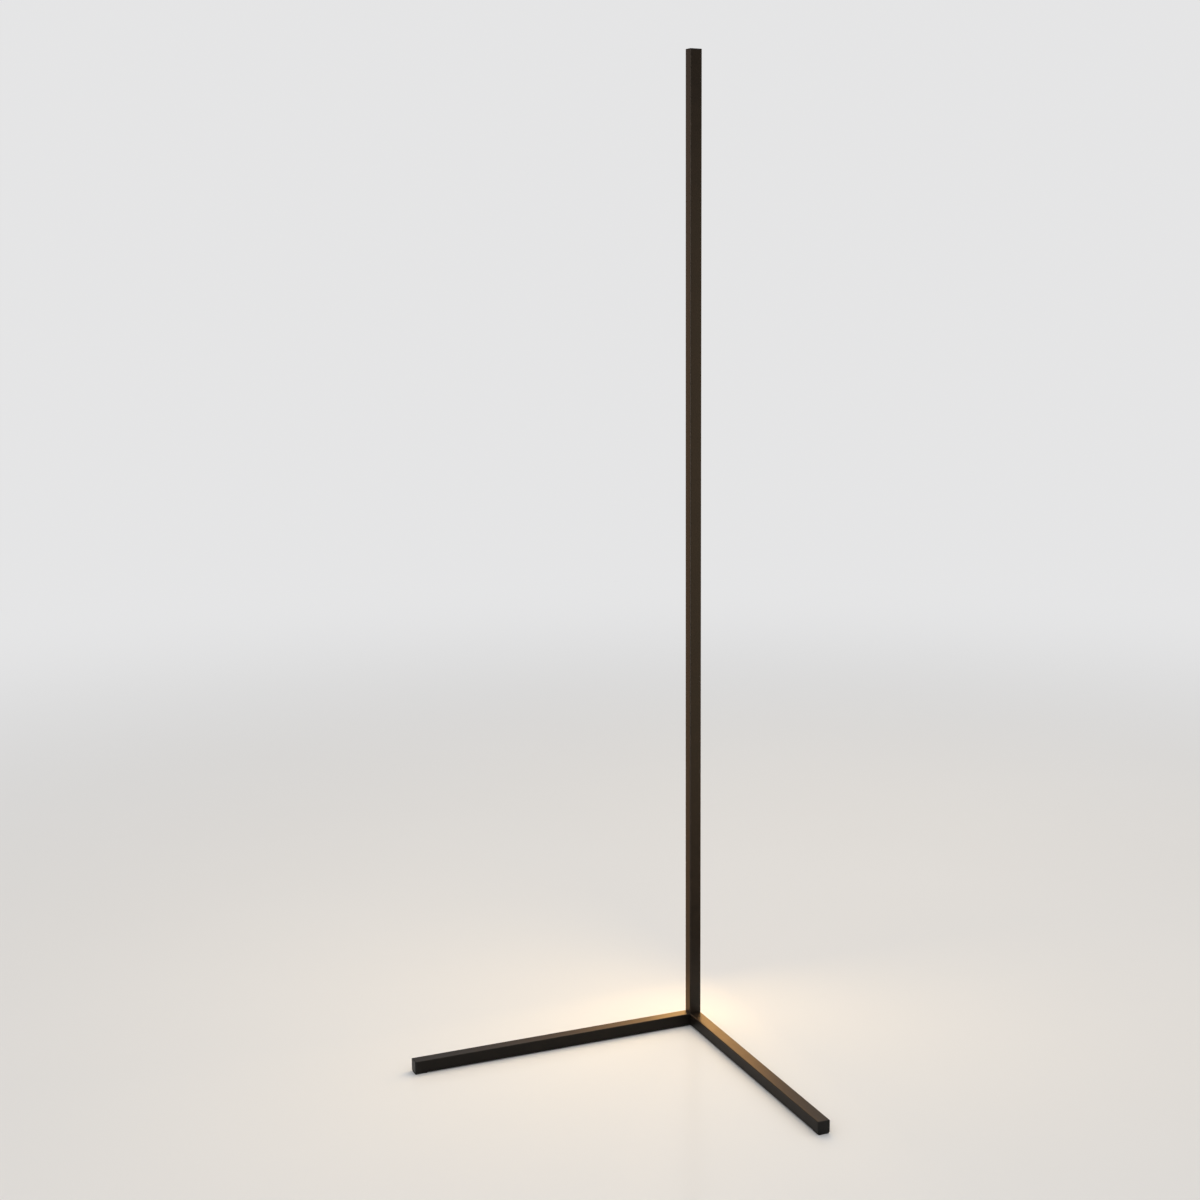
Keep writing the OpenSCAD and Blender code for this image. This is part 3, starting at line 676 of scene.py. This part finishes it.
def power_inlet():
    rows = [(-10.5, 0.8), (-10.5, 3.5), (-10.25, 3.62)]
    rows += thread(3.9, 0.28, 0.75, -10.2, -0.35, per=5, lead=0.6)
    rows += [(-0.1, 3.9), (0, 3.95), (0, 5.05), (0.06, 5.18), (0.2, 5.25), (1.0, 5.25), (1.18, 5.22),
             (1.34, 5.13), (1.45, 5.0), (1.5, 4.84), (1.5, 3.42), (1.47, 3.3), (1.36, 3.16), (1.2, 3.05),
             (1.0, 3.0), (-9.0, 3.0), (-9.0, 0.8)]
    body = bmesh.new()
    loft(body, turned(rows, 64, INLET), closed=True)
    slot = bmesh.new()
    pts = [(-58.8, -2, 13.4), (-57.2, -2, 13.4), (-57.2, 8, 13.4), (-58.8, 8, 13.4)]
    block(slot, [Vector(p) * MM for p in pts] + [Vector((p[0], p[1], 14.0)) * MM for p in pts])
    whole = combine(body, slot, "DIFFERENCE")
    mat = moulded_black("inlet_plastic", None, None, rough=0.42)
    return piece("power_inlet", whole, [mat], "dc_socket")


power_inlet()


def inlet_nut():
    def cut(limit):
        flat = hexagon(5.0)
        return lambda th, a: min(flat(th, a), limit)

    half = [(0, 4.12), (0, 4.75), (0.1, cut(4.95)), (0.22, cut(5.18)), (0.36, cut(5.42)), (0.52, cut(5.7)),
            (0.6, cut(5.78))]
    rows = half + [(2 - a, r) for a, r in reversed(half)] + [(1.8, 3.92), (0.2, 3.92)]
    bm = bmesh.new()
    loft(bm, turned([(a - 3.5, r) for a, r in rows], 72, INLET), closed=True)
    return piece("inlet_nut", bm, [ZINC], "dc_socket_nut")


inlet_nut()


# Light strip: chips with a round phosphor window, resistors with tinned ends
def strip_chips():
    marks = ((-0.6 * MM, 0.0), (0.6 * MM, 0.0))
    outer = square_ring(1.4 * MM, 1.6 * MM, 0.1 * MM, 1, marks)
    inner = square_ring(1.34 * MM, 1.54 * MM, 0.1 * MM, 1, marks)

    def circle(r):
        return [(r * x / math.hypot(x, y), r * y / math.hypot(x, y)) for x, y in outer]

    rows = [(2.6, outer), (3.22, outer), (3.3, inner), (3.3, circle(1.16 * MM)), (3.2, circle(1.08 * MM))]
    bm = bmesh.new()
    for i in range(80):
        z = 112 + i * 1000 / 60
        loft(bm, [[diag(t, c / MM, z + w / MM) for c, w in ring] for t, ring in rows],
             paint=lambda k: 1 if k == 3 else 0)
        for s in (-1, 1):
            a, b = sorted((s * 1.6, s * 1.75))
            block(bm, [diag(2.6, -1.05, z + a), diag(2.6, 1.05, z + a), diag(2.6, 1.05, z + b),
                       diag(2.6, -1.05, z + b), diag(2.95, -1.05, z + a), diag(2.95, 1.05, z + a),
                       diag(2.95, 1.05, z + b), diag(2.95, -1.05, z + b)], 2)
    return piece("light_chips", bm, [CHIP_BODY, PHOSPHOR, TIN], "led_chips")


def strip_chip_resistors():
    bm = bmesh.new()
    rows = [(-1.6, 0.08), (-1.54, 0.0), (-1.15, 0.0), (-1.13, 0.04), (1.13, 0.04), (1.15, 0.0),
            (1.54, 0.0), (1.6, 0.08)]
    for i in range(1, 78, 3):
        z = 112 + (i + 0.5) * 1000 / 60
        rings = []
        for c, d in rows:
            rings.append([diag(2.875 + p / MM, c, z + q / MM)
                          for p, q in square_ring((0.275 - d / 2) * MM, (0.8 - d) * MM, 0.05 * MM, 1)])
        loft(bm, rings, paint=lambda k: 0 if k == 3 else 1)
    return piece("chip_resistors", bm, [RESISTOR, TIN], "strip_resistors")


strip_chips()
strip_chip_resistors()


# Inner wires: insulation with a stripped and tinned end at each joint
POSITIVE = [
    (-57.5, -3.4, 10.5), (-54, -3.4, 10.5), (-49.5, -1.4, 10.9), (-45.5, 2.1, 11.4), (-41.5, 4, 11.6),
    (-37, 4.2, 11.6), (-26, 4.2, 11.6), (-16, 4.2, 11.6), (-10.7, 4.2, 11.6), (-6.7, 4.2, 13.2),
    (-5.05, 4.2, 17.2), (-5.05, 4.2, 25.5), (-5.05, 4.2, 47.5), (-5.05, 4.2, 69.5),
    (-0.55, 5.7, 75, 1), (0.1, 4.4, 79.5, 1), (1.8, 4.05, 83.5, 1), (3.1, 3.7, 87, 1),
    (3.6, 2.6, 90.5, 1), (3.6, 0.2, 94.5, 1), (3.45, -1.9, 98.5, 1), (3.38, -2.5, 102.5, 1),
    (3.38, -2.5, 107, 1)]
NEGATIVE = [
    (-57.5, -3.4, 14), (-54, -3.4, 14), (-50, -0.8, 13.7), (-46, 3.2, 12.9), (-42, 5.3, 12.5),
    (-38, 5.6, 12.4), (-26, 5.6, 12.4), (-16, 5.6, 12.4), (-10.8, 5.6, 12.4), (-7.4, 5.6, 13.8),
    (-5.95, 5.6, 17.2), (-5.95, 5.6, 25.5), (-5.95, 5.6, 47.5), (-5.95, 5.6, 70.5),
    (-0.25, 7.6, 76, 1), (0.2, 6.2, 80.5, 1), (1.8, 5.75, 84.5, 1), (3.1, 5.4, 88, 1),
    (3.5, 4.4, 92, 1), (3.42, 3.1, 96, 1), (3.38, 2.5, 100.5, 1), (3.38, 2.5, 107, 1)]


def wire(name, node, route, mat):
    """route: points in mm; a fourth number marks one given along the diagonal."""
    p = [diag(*q[:3]) if len(q) == 4 else Vector(q) * MM for q in route]
    m, n, pts = len(p) - 1, 7, []
    for i in range(m):
        a, b, c, d = p[max(i - 1, 0)], p[i], p[i + 1], p[min(i + 2, m)]
        for k in range(n):
            u = k / n
            pts.append(0.5 * ((2 * b) + (c - a) * u + (2 * a - 5 * b + 4 * c - d) * u * u
                              + (3 * b - a - 3 * c + d) * u * u * u))
    pts.append(p[m])
    far = [0.0]
    for a, b in zip(pts, pts[1:]):
        far.append(far[-1] + (b - a).length)
    total = far[-1]

    def at(s):
        for i in range(len(far) - 1):
            if s <= far[i + 1]:
                return pts[i].lerp(pts[i + 1], (s - far[i]) / (far[i + 1] - far[i]))
        return pts[-1]

    # bare ends, and the insulation's cut with a slightly rounded edge
    bare = 1.7 * MM
    spots = [(0.0, 0.28), (0.1 * MM, 0.36), (bare, 0.38), (bare + 0.01 * MM, 0.66), (bare + 0.08 * MM, 0.75)]
    inner = [(s, 0.75) for s in far if bare + 0.4 * MM < s < total - bare - 0.4 * MM]
    spots = spots + inner + [(total - s, r) for s, r in reversed(spots)]
    line = [(at(s), r) for s, r in spots]
    bm, rows, side = bmesh.new(), [], Vector((0.55, 0.35, -0.75)).normalized()
    for i, (q, r) in enumerate(line):
        t = (line[min(i + 1, len(line) - 1)][0] - line[max(i - 1, 0)][0]).normalized()
        side = (side - t * side.dot(t)).normalized()
        other = t.cross(side)
        rows.append([q + r * MM * (math.cos(2 * math.pi * j / 14) * side
                                   + math.sin(2 * math.pi * j / 14) * other) for j in range(14)])
    last = len(rows) - 2
    loft(bm, rows, paint=lambda k: 1 if k < 2 or k > last - 2 else 0)
    return piece(name, bm, [mat, TIN], node)


wire("red_wire", "wire_positive", POSITIVE, RED_PVC)
wire("black_wire", "wire_negative", NEGATIVE, BLACK_PVC)


def solder():
    """Domes of solder with hollow flanks, over the wires' bare ends."""
    outline = [(1.0, 0.0), (0.94, 0.04), (0.87, 0.14), (0.82, 0.30), (0.77, 0.5), (0.66, 0.7),
               (0.48, 0.87), (0.26, 0.97), (0.08, 1.0)]
    bm = bmesh.new()
    for base, n, u, v, ru, rv, height in (
            (diag(2.6, -2.5, 107.5), (1, 1, 0), (-1, 1, 0), UP, 0.9, 1.5, 1.28),
            (diag(2.6, 2.5, 107.5), (1, 1, 0), (-1, 1, 0), UP, 0.9, 1.5, 1.28),
            (Vector((-57.75, -3.4, 10.5)) * MM, (1, 0, 0), (0, 1, 0), UP, 1.0, 1.0, 0.75),
            (Vector((-57.75, -3.4, 14.0)) * MM, (1, 0, 0), (0, 1, 0), UP, 1.0, 1.0, 0.75)):
        n, u, v = Vector(n).normalized(), Vector(u).normalized(), Vector(v)
        rows = []
        for r, hgt in outline:
            rows.append([base + (n * hgt * height + u * ru * r * math.cos(2 * math.pi * i / 24)
                                 + v * rv * r * math.sin(2 * math.pi * i / 24)) * MM for i in range(24)])
        loft(bm, rows)
    return piece("solder_domes", bm, [TIN], "solder_joints", angle=50)


solder()


# ---------------------------------------------------------------- stage
GROUND = (0.785, 0.785, 0.790)
FADE_SHIFT = (-0.1, -2.3)   # nearer start and end of the fade, for the camera only


def make_floor():
    me = bpy.data.meshes.new("studio_floor")
    bm = bmesh.new()
    rings, seg = [0.0, 0.6, 1.2, 2.5, 5, 10, 25, 60, 120], 96
    c = (-0.1, -0.1, 0.0)
    prev = None
    for r in rings:
        if r == 0.0:
            cur = [bm.verts.new(c)]
        else:
            cur = [bm.verts.new((c[0] + r * math.cos(2 * math.pi * i / seg),
                                 c[1] + r * math.sin(2 * math.pi * i / seg), 0.0))
                   for i in range(seg)]
        if prev is not None:
            for i in range(seg):
                j = (i + 1) % seg
                if len(prev) == 1:
                    bm.faces.new((prev[0], cur[i], cur[j]))
                else:
                    bm.faces.new((prev[i], cur[i], cur[j], prev[j]))
        prev = cur
    bm.to_mesh(me)
    bm.free()
    floor = bpy.data.objects.new("studio_floor", me)
    scene.collection.objects.link(floor)
    mat = bpy.data.materials.new("floor_pale")
    mat.use_nodes = True
    nt = mat.node_tree
    nt.nodes.clear()

    def put(socket, value):
        if hasattr(value, "is_output"):
            nt.links.new(value, socket)
        else:
            socket.default_value = value

    def calc(op, *values):
        n = nt.nodes.new("ShaderNodeMath")
        n.operation = op
        for i, v in enumerate(values):
            put(n.inputs[i], v)
        return n.outputs[0]

    def tint(f, one, two):
        n = nt.nodes.new("ShaderNodeMix")
        n.data_type = "RGBA"
        put(n.inputs[0], f)
        put(n.inputs[6], one)
        put(n.inputs[7], two)
        return n.outputs[2]

    def glow(colour):
        n = nt.nodes.new("ShaderNodeEmission")
        put(n.inputs["Color"], colour)
        return n.outputs[0]

    def blend(f, one, two):
        n = nt.nodes.new("ShaderNodeMixShader")
        put(n.inputs[0], f)
        put(n.inputs[1], one)
        put(n.inputs[2], two)
        return n.outputs[0]

    seen = nt.nodes.new("ShaderNodeLightPath")
    camera, gloss = seen.outputs["Is Camera Ray"], seen.outputs["Is Glossy Ray"]
    tc = nt.nodes.new("ShaderNodeTexCoord")
    sep = nt.nodes.new("ShaderNodeSeparateXYZ")
    nt.links.new(tc.outputs["Object"], sep.inputs[0])
    x, y = sep.outputs[0], sep.outputs[1]
    no = nt.nodes.new("ShaderNodeTexNoise")
    nt.links.new(tc.outputs["Object"], no.inputs["Vector"])
    no.inputs["Scale"].default_value = 1.6
    no.inputs["Detail"].default_value = 4.0
    dif = nt.nodes.new("ShaderNodeBsdfDiffuse")
    put(dif.inputs["Color"], tint(no.outputs[0], (0.80, 0.797, 0.79, 1), (0.825, 0.822, 0.817, 1)))
    glo = nt.nodes.new("ShaderNodeBsdfGlossy")
    glo.inputs["Color"].default_value = (0.9, 0.9, 0.9, 1)
    glo.inputs["Roughness"].default_value = 0.16
    near = blend(0.07, dif.outputs[0], glo.outputs[0])
    # far from the lamp the floor runs out into the even ground
    away = nt.nodes.new("ShaderNodeVectorMath")
    away.operation = "LENGTH"
    nt.links.new(tc.outputs["Object"], away.inputs[0])
    fade = nt.nodes.new("ShaderNodeMapRange")
    fade.interpolation_type = "SMOOTHERSTEP"
    put(fade.inputs["Value"], away.outputs["Value"])
    put(fade.inputs["From Min"], calc("MULTIPLY_ADD", camera, FADE_SHIFT[0], 0.9))
    put(fade.inputs["From Max"], calc("MULTIPLY_ADD", camera, FADE_SHIFT[1], 6.5))
    whole = blend(fade.outputs[0], near, glow(tint(camera, (0.15, 0.14, 0.13, 1), (*GROUND, 1))))
    # in the lamp's own gloss the floor carries painted light: a painted shade between the legs,
    # a painted warm glow at the column's foot behind the left leg, and painted dark past the reflectors
    behind = calc("GREATER_THAN", y, 0.009)
    left = calc("MULTIPLY", calc("LESS_THAN", x, 0.0),
                calc("GREATER_THAN", x, calc("MULTIPLY_ADD", behind, 0.3, -0.43)))
    # painted warm glow in the floor's gloss, strongest at the column's foot and weaker along -X
    warm = calc("MULTIPLY", behind, calc("MULTIPLY_ADD", x, 3.0, 1.0))
    painted_shade_and_glow = calc("MULTIPLY", calc("MULTIPLY", gloss, left), calc("MULTIPLY_ADD", behind, 0.5, 0.4))
    whole = blend(painted_shade_and_glow, whole, glow(tint(warm, (0, 0, 0, 1), (1.45, 0.78, 0.33, 1))))
    # painted dark in the floor's gloss past the reflectors
    past = calc("GREATER_THAN", calc("MAXIMUM", calc("SUBTRACT", y, 0.182),
                                     calc("SUBTRACT", x, 0.111)), 0.0)
    whole = blend(calc("MULTIPLY", past, gloss), whole, glow((0.035, 0.024, 0.013, 1)))
    out = nt.nodes.new("ShaderNodeOutputMaterial")
    put(out.inputs["Surface"], whole)
    me.materials.append(mat)
    floor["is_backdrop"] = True
    return floor


def make_world():
    """Soft studio surround: an even pale ground for the camera, and for the
    light a dome that is brightest overhead."""
    w = bpy.data.worlds.new("studio")
    scene.world = w
    w.use_nodes = True
    nt = w.node_tree
    nt.nodes.clear()
    out = nt.nodes.new("ShaderNodeOutputWorld")
    seen = nt.nodes.new("ShaderNodeBackground")
    lit = nt.nodes.new("ShaderNodeBackground")
    mix = nt.nodes.new("ShaderNodeMixShader")
    lp = nt.nodes.new("ShaderNodeLightPath")
    tc = nt.nodes.new("ShaderNodeTexCoord")
    sep = nt.nodes.new("ShaderNodeSeparateXYZ")
    ramp = nt.nodes.new("ShaderNodeValToRGB")
    seen.inputs["Color"].default_value = (*GROUND, 1)
    e = ramp.color_ramp.elements
    e[0].position, e[0].color = 0.0, (0.20, 0.20, 0.20, 1)
    e[1].position, e[1].color = 1.0, (0.97, 0.97, 0.98, 1)
    a = ramp.color_ramp.elements.new(0.24)
    a.color = (0.24, 0.24, 0.24, 1)
    b = ramp.color_ramp.elements.new(0.55)
    b.color = (0.78, 0.78, 0.78, 1)
    nt.links.new(tc.outputs["Generated"], sep.inputs[0])
    nt.links.new(sep.outputs[2], ramp.inputs[0])
    nt.links.new(ramp.outputs[0], lit.inputs["Color"])
    nt.links.new(lp.outputs["Is Camera Ray"], mix.inputs[0])
    nt.links.new(lit.outputs[0], mix.inputs[1])
    nt.links.new(seen.outputs[0], mix.inputs[2])
    nt.links.new(mix.outputs[0], out.inputs["Surface"])


def area(name, at, aim, size, energy, color=(1, 1, 1), spread=180, roll=None):
    """A soft light panel that doesn't show itself."""
    d = bpy.data.lights.new(name, "AREA")
    d.shape = "RECTANGLE"
    d.size, d.size_y = size
    d.energy = energy
    d.color = color
    d.spread = math.radians(spread)
    o = bpy.data.objects.new(name, d)
    scene.collection.objects.link(o)
    z = (Vector(at) - Vector(aim)).normalized()
    up = Vector(roll) if roll else Vector((0, 0, 1))
    x = up.cross(z).normalized()
    y = z.cross(x)
    m = Matrix((x, y, z)).transposed().to_4x4()
    m.translation = at
    o.matrix_world = m
    o.visible_camera = False
    return o


def glow_profile(light, across, up=None):
    """Lets an area light's strength and colour vary over its width and height."""
    light.data.use_nodes = True
    nt = light.data.node_tree
    nt.nodes.clear()
    out = nt.nodes.new("ShaderNodeOutputLight")
    em = nt.nodes.new("ShaderNodeEmission")
    geo = nt.nodes.new("ShaderNodeNewGeometry")
    sep = nt.nodes.new("ShaderNodeSeparateXYZ")
    nt.links.new(geo.outputs["Parametric"], sep.inputs[0])
    ramps = []
    for k, stops in enumerate((across, up)):
        if stops is None:
            continue
        ramp = nt.nodes.new("ShaderNodeValToRGB")
        ramp.color_ramp.interpolation = "EASE"
        e = ramp.color_ramp.elements
        while len(e) < len(stops):
            e.new(0.5)
        for i, (p, c) in enumerate(stops):
            e[i].position = p
            e[i].color = (*c, 1)
        nt.links.new(sep.outputs[k], ramp.inputs[0])
        ramps.append(ramp.outputs[0])
    if len(ramps) == 2:
        mul = nt.nodes.new("ShaderNodeMix")
        mul.data_type = "RGBA"
        mul.blend_type = "MULTIPLY"
        mul.inputs[0].default_value = 1.0
        nt.links.new(ramps[0], mul.inputs[6])
        nt.links.new(ramps[1], mul.inputs[7])
        nt.links.new(mul.outputs[2], em.inputs["Color"])
    else:
        nt.links.new(ramps[0], em.inputs["Color"])
    em.inputs["Strength"].default_value = 1.0
    nt.links.new(em.outputs[0], out.inputs["Surface"])


floor = make_floor()
make_world()
# Soft warm key from above and behind, and a weaker fill from the front left
area("key_softbox", (0.75, 0.95, 2.1), (-0.1, -0.1, 0.0), (1.1, 1.1), 9.0, (1.0, 0.82, 0.58))
area("fill_softbox", (-2.6, -2.2, 3.0), (-0.1, -0.1, 0.5), (2.6, 2.6), 8.0, (0.97, 0.985, 1.0))
# The lamp's own light on the floor behind it
LIT = (1.0, 0.62, 0.30)
area("lamp_light_x", (H + 0.6 * MM, 5 * MM, 0.73), (1.0, 5 * MM, 0.73), (7.5 * MM, 1.40), 0.32, LIT)
area("lamp_light_y", (5 * MM, H + 0.6 * MM, 0.73), (5 * MM, 1.0, 0.73), (7.5 * MM, 1.40), 0.32, LIT)


def group(name, nodes):
    """A set of the lamp's pieces that a light is kept for."""
    col = bpy.data.collections.new(name)
    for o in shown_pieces():
        if o.name.split(".")[0] in nodes:
            col.objects.link(o)
    return col


# Warm reflectors behind the lamp, brightest beside the column and fading out
# along the legs. Black faces mirror them, each group at its own strength, and a
# weak pair warms the floor around the foot.
BASE_PIECES = group("base_pieces", ("left_leg", "right_leg", "left_leg_end_cap", "right_leg_end_cap"))
COLUMN_PIECES = group("column_pieces", ("mast_profile", "column_top_cap"))


def fading(stops, hue):
    """Stops of a warm white that reddens a little as it gets weaker."""
    return [(p, (v, v * (hue[0] - 0.06 * (1 - v)), v * (hue[1] - 0.03 * (1 - v)))) for p, v in stops]


LEFT_FADE = [(0.0, 0.0), (0.45, 0.01), (0.62, 0.05), (0.70, 0.10), (0.78, 0.24), (0.86, 0.42),
             (0.92, 1.0), (1.0, 1.0)]
RIGHT_FADE = [(0.0, 0.0), (0.40, 0.02), (0.62, 0.09), (0.72, 0.23), (0.80, 0.51), (0.88, 0.59),
              (0.95, 0.92), (1.0, 0.95)]
LEG_FADE = [(0.0, 0.0), (0.40, 0.02), (0.62, 0.07), (0.72, 0.18), (0.80, 0.47), (0.88, 0.50),
            (0.95, 0.82), (1.0, 0.86)]
TALL_FADE = [(0.0, (1, 1, 1)), (0.72, (1, 1, 1)), (0.86, (0.8, 0.76, 0.7)), (1.0, (0.45, 0.42, 0.38))]
for name, pieces, peak, tall, low, back, hue in (
        ("base", BASE_PIECES, 6.6, 0.6, 0.0, 0.0, (0.52, 0.145)),
        ("column", COLUMN_PIECES, 2.6, 1.5, 0.0, 0.003, (0.62, 0.34)),
        ("floor", None, 4.0, 1.0, 0.16, 0.006, (0.70, 0.30))):
    mid = low + tall / 2
    for side, at, aim in (("left", (-0.296, 0.178 + back, mid), (-0.296, -1.0, mid)),
                          ("right", (0.107 + back, -0.222, mid), (-1.0, -0.222, mid))):
        card = area("reflector_%s_%s" % (name, side), at, aim, (0.80, tall),
                    math.pi * 0.80 * tall * peak)
        right = LEG_FADE if name == "base" else RIGHT_FADE
        stops = fading(right if side == "right" else LEFT_FADE, hue)
        if side == "left":
            stops = [(1.0 - p, c) for p, c in reversed(stops)]
        glow_profile(card, stops, TALL_FADE if name == "column" else None)
        if pieces:
            card.light_linking.receiver_collection = pieces
        else:
            card.visible_glossy = False
# A warm card in front, to the right, that the column's front face mirrors
front_card = area("reflector_front", (0.36, -0.82, 0.80), (0.0, 0.0, 0.80), (0.40, 1.6),
                  math.pi * 0.40 * 1.6 * 1.85, (1.0, 0.74, 0.46))
glow_profile(front_card, [(0.0, (1, 1, 1)), (1.0, (1, 1, 1))],
             [(p, (v, v, v)) for p, v in ((0.0, 0.74), (0.1, 0.82), (0.43, 1.0), (0.75, 0.9),
                                          (0.9, 0.35), (1.0, 0.12))])
front_card.light_linking.receiver_collection = COLUMN_PIECES

# A weak card to the left, that the column's rounded front edge mirrors
side_card = area("reflector_side", (-0.95, -0.42, 0.80), (0.0, 0.0, 0.80), (1.1, 1.6),
                 math.pi * 1.1 * 1.6 * 3.9, (1.0, 0.82, 0.68))
glow_profile(side_card, [(0.0, (1, 1, 1)), (1.0, (1, 1, 1))],
             [(p, (v, v, v)) for p, v in ((0.0, 0.55), (0.19, 0.7), (0.31, 0.85), (0.45, 1.0),
                                          (0.85, 1.0), (1.0, 0.8))])
side_card.light_linking.receiver_collection = COLUMN_PIECES

scene.view_settings.view_transform = "Standard"
scene.view_settings.look = "None"
